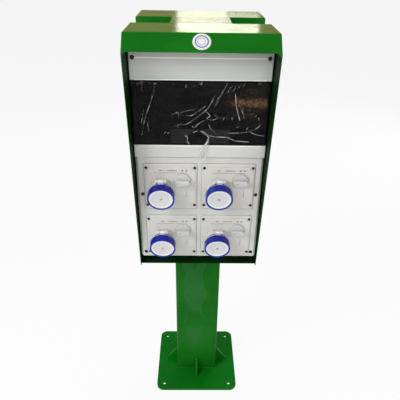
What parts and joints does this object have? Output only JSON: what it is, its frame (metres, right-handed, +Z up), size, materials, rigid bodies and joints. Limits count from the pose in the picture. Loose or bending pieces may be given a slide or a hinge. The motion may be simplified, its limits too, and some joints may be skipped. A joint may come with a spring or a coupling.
{
  "type": "socket distribution board",
  "caption": "Free-standing socket distribution pedestal: a steel post on a base plate carries hooded cabinets back to back, with lidded switched sockets and a windowed breaker bay.",
  "frame": {"origin": "middle of the base plate's underside", "axes": "+Z up along the post, the front cabinet faces -Y, +X to the right as seen from the front"},
  "size_m": [0.35, 0.488, 1.26],
  "materials": {
    "green_coat": "glossy bottle-green powder coat",
    "grey_plastic": "light grey moulded plastic",
    "flange_plastic": "light grey moulded plastic, a little warmer",
    "smoked_plastic": "smoked clear plastic",
    "latch_black": "black moulded plastic",
    "blue_plastic": "glossy blue moulded plastic",
    "lid_plastic": "grey moulded plastic",
    "knob_plastic": "pale grey moulded plastic",
    "breaker_plastic": "light grey moulded plastic",
    "screw_black": "blackened steel"
  },
  "bodies": {
    "pedestal": {"base_plate": "green_coat", "post": "green_coat", "post_cap": "green_coat", "gussets": "green_coat", "cover_screws": "screw_black", "contact_inserts": "blue_plastic", "front_hood": "green_coat", "front_case": "grey_plastic", "front_breaker_cover": "grey_plastic", "front_breaker_row": "breaker_plastic", "front_socket_cover": "grey_plastic", "front_flange_1": "flange_plastic", "front_socket_body_1": "blue_plastic", "front_flange_2": "flange_plastic", "front_socket_body_2": "blue_plastic", "front_flange_3": "flange_plastic", "front_socket_body_3": "blue_plastic", "front_flange_4": "flange_plastic", "front_socket_body_4": "blue_plastic", "rear_hood": "green_coat", "rear_case": "grey_plastic", "rear_breaker_cover": "grey_plastic", "rear_breaker_row": "breaker_plastic", "rear_socket_cover": "grey_plastic", "rear_flange_1": "flange_plastic", "rear_socket_body_1": "blue_plastic", "rear_flange_2": "flange_plastic", "rear_socket_body_2": "blue_plastic", "rear_flange_3": "flange_plastic", "rear_socket_body_3": "blue_plastic", "rear_flange_4": "flange_plastic", "rear_socket_body_4": "blue_plastic"},
    "front_window": {"front_window": "smoked_plastic"},
    "front_window_latch": {"front_window_latch": "latch_black"},
    "front_lid_1": {"front_lid_1": "lid_plastic"},
    "front_lock_ring_1": {"front_lock_ring_1": "blue_plastic"},
    "front_knob_1": {"front_knob_1": "knob_plastic"},
    "front_lid_2": {"front_lid_2": "lid_plastic"},
    "front_lock_ring_2": {"front_lock_ring_2": "blue_plastic"},
    "front_knob_2": {"front_knob_2": "knob_plastic"},
    "front_lid_3": {"front_lid_3": "lid_plastic"},
    "front_lock_ring_3": {"front_lock_ring_3": "blue_plastic"},
    "front_knob_3": {"front_knob_3": "knob_plastic"},
    "front_lid_4": {"front_lid_4": "lid_plastic"},
    "front_lock_ring_4": {"front_lock_ring_4": "blue_plastic"},
    "front_knob_4": {"front_knob_4": "knob_plastic"},
    "rear_window": {"rear_window": "smoked_plastic"},
    "rear_window_latch": {"rear_window_latch": "latch_black"},
    "rear_lid_1": {"rear_lid_1": "lid_plastic"},
    "rear_lock_ring_1": {"rear_lock_ring_1": "blue_plastic"},
    "rear_knob_1": {"rear_knob_1": "knob_plastic"},
    "rear_lid_2": {"rear_lid_2": "lid_plastic"},
    "rear_lock_ring_2": {"rear_lock_ring_2": "blue_plastic"},
    "rear_knob_2": {"rear_knob_2": "knob_plastic"},
    "rear_lid_3": {"rear_lid_3": "lid_plastic"},
    "rear_lock_ring_3": {"rear_lock_ring_3": "blue_plastic"},
    "rear_knob_3": {"rear_knob_3": "knob_plastic"},
    "rear_lid_4": {"rear_lid_4": "lid_plastic"},
    "rear_lock_ring_4": {"rear_lock_ring_4": "blue_plastic"},
    "rear_knob_4": {"rear_knob_4": "knob_plastic"}
  },
  "joints": [
    {"name": "front_window_hinge", "type": "hinge", "parent": "pedestal", "child": "front_window", "pos_m": [0, -0.163, 1.141], "axis": [-1, 0, 0], "range_deg": [0, 95]},
    {"name": "front_window_latch_turn", "type": "hinge", "parent": "front_window", "child": "front_window_latch", "pos_m": [0, -0.169, 1.001], "axis": [0, 1, 0], "range_deg": [0, 90]},
    {"name": "front_lid_hinge_1", "type": "hinge", "parent": "pedestal", "child": "front_lid_1", "pos_m": [-0.103, -0.19496, 0.89524], "axis": [-1, 0, 0], "range_deg": [0, 105], "stiffness_Nm_per_rad": 0.08, "springref_deg": -22.92},
    {"name": "front_ring_twist_1", "type": "hinge", "parent": "front_lid_1", "child": "front_lock_ring_1", "pos_m": [-0.103, -0.18837, 0.85249], "axis": [0, -0.9659, -0.2588], "range_deg": [0, 30]},
    {"name": "front_knob_turn_1", "type": "hinge", "parent": "pedestal", "child": "front_knob_1", "pos_m": [-0.045, -0.1665, 0.88375], "axis": [0, 1, 0], "range_deg": [0, 90]},
    {"name": "front_lid_hinge_2", "type": "hinge", "parent": "pedestal", "child": "front_lid_2", "pos_m": [0.053, -0.19496, 0.89524], "axis": [-1, 0, 0], "range_deg": [0, 105], "stiffness_Nm_per_rad": 0.08, "springref_deg": -22.92},
    {"name": "front_ring_twist_2", "type": "hinge", "parent": "front_lid_2", "child": "front_lock_ring_2", "pos_m": [0.053, -0.18837, 0.85249], "axis": [0, -0.9659, -0.2588], "range_deg": [0, 30]},
    {"name": "front_knob_turn_2", "type": "hinge", "parent": "pedestal", "child": "front_knob_2", "pos_m": [0.111, -0.1665, 0.88375], "axis": [0, 1, 0], "range_deg": [0, 90]},
    {"name": "front_lid_hinge_3", "type": "hinge", "parent": "pedestal", "child": "front_lid_3", "pos_m": [-0.103, -0.19496, 0.73724], "axis": [-1, 0, 0], "range_deg": [0, 105], "stiffness_Nm_per_rad": 0.08, "springref_deg": -22.92},
    {"name": "front_ring_twist_3", "type": "hinge", "parent": "front_lid_3", "child": "front_lock_ring_3", "pos_m": [-0.103, -0.18837, 0.69449], "axis": [0, -0.9659, -0.2588], "range_deg": [0, 30]},
    {"name": "front_knob_turn_3", "type": "hinge", "parent": "pedestal", "child": "front_knob_3", "pos_m": [-0.045, -0.1665, 0.72575], "axis": [0, 1, 0], "range_deg": [0, 90]},
    {"name": "front_lid_hinge_4", "type": "hinge", "parent": "pedestal", "child": "front_lid_4", "pos_m": [0.053, -0.19496, 0.73724], "axis": [-1, 0, 0], "range_deg": [0, 105], "stiffness_Nm_per_rad": 0.08, "springref_deg": -22.92},
    {"name": "front_ring_twist_4", "type": "hinge", "parent": "front_lid_4", "child": "front_lock_ring_4", "pos_m": [0.053, -0.18837, 0.69449], "axis": [0, -0.9659, -0.2588], "range_deg": [0, 30]},
    {"name": "front_knob_turn_4", "type": "hinge", "parent": "pedestal", "child": "front_knob_4", "pos_m": [0.111, -0.1665, 0.72575], "axis": [0, 1, 0], "range_deg": [0, 90]},
    {"name": "rear_window_hinge", "type": "hinge", "parent": "pedestal", "child": "rear_window", "pos_m": [0, 0.163, 1.141], "axis": [1, 0, 0], "range_deg": [0, 95]},
    {"name": "rear_window_latch_turn", "type": "hinge", "parent": "rear_window", "child": "rear_window_latch", "pos_m": [0, 0.169, 1.001], "axis": [0, -1, 0], "range_deg": [0, 90]},
    {"name": "rear_lid_hinge_1", "type": "hinge", "parent": "pedestal", "child": "rear_lid_1", "pos_m": [0.103, 0.19496, 0.89524], "axis": [1, 0, 0], "range_deg": [0, 105], "stiffness_Nm_per_rad": 0.08, "springref_deg": -22.92},
    {"name": "rear_ring_twist_1", "type": "hinge", "parent": "rear_lid_1", "child": "rear_lock_ring_1", "pos_m": [0.103, 0.18837, 0.85249], "axis": [0, 0.9659, -0.2588], "range_deg": [0, 30]},
    {"name": "rear_knob_turn_1", "type": "hinge", "parent": "pedestal", "child": "rear_knob_1", "pos_m": [0.045, 0.1665, 0.88375], "axis": [0, -1, 0], "range_deg": [0, 90]},
    {"name": "rear_lid_hinge_2", "type": "hinge", "parent": "pedestal", "child": "rear_lid_2", "pos_m": [-0.053, 0.19496, 0.89524], "axis": [1, 0, 0], "range_deg": [0, 105], "stiffness_Nm_per_rad": 0.08, "springref_deg": -22.92},
    {"name": "rear_ring_twist_2", "type": "hinge", "parent": "rear_lid_2", "child": "rear_lock_ring_2", "pos_m": [-0.053, 0.18837, 0.85249], "axis": [0, 0.9659, -0.2588], "range_deg": [0, 30]},
    {"name": "rear_knob_turn_2", "type": "hinge", "parent": "pedestal", "child": "rear_knob_2", "pos_m": [-0.111, 0.1665, 0.88375], "axis": [0, -1, 0], "range_deg": [0, 90]},
    {"name": "rear_lid_hinge_3", "type": "hinge", "parent": "pedestal", "child": "rear_lid_3", "pos_m": [0.103, 0.19496, 0.73724], "axis": [1, 0, 0], "range_deg": [0, 105], "stiffness_Nm_per_rad": 0.08, "springref_deg": -22.92},
    {"name": "rear_ring_twist_3", "type": "hinge", "parent": "rear_lid_3", "child": "rear_lock_ring_3", "pos_m": [0.103, 0.18837, 0.69449], "axis": [0, 0.9659, -0.2588], "range_deg": [0, 30]},
    {"name": "rear_knob_turn_3", "type": "hinge", "parent": "pedestal", "child": "rear_knob_3", "pos_m": [0.045, 0.1665, 0.72575], "axis": [0, -1, 0], "range_deg": [0, 90]},
    {"name": "rear_lid_hinge_4", "type": "hinge", "parent": "pedestal", "child": "rear_lid_4", "pos_m": [-0.053, 0.19496, 0.73724], "axis": [1, 0, 0], "range_deg": [0, 105], "stiffness_Nm_per_rad": 0.08, "springref_deg": -22.92},
    {"name": "rear_ring_twist_4", "type": "hinge", "parent": "rear_lid_4", "child": "rear_lock_ring_4", "pos_m": [-0.053, 0.18837, 0.69449], "axis": [0, 0.9659, -0.2588], "range_deg": [0, 30]},
    {"name": "rear_knob_turn_4", "type": "hinge", "parent": "pedestal", "child": "rear_knob_4", "pos_m": [-0.111, 0.1665, 0.72575], "axis": [0, -1, 0], "range_deg": [0, 90]}
  ]
}
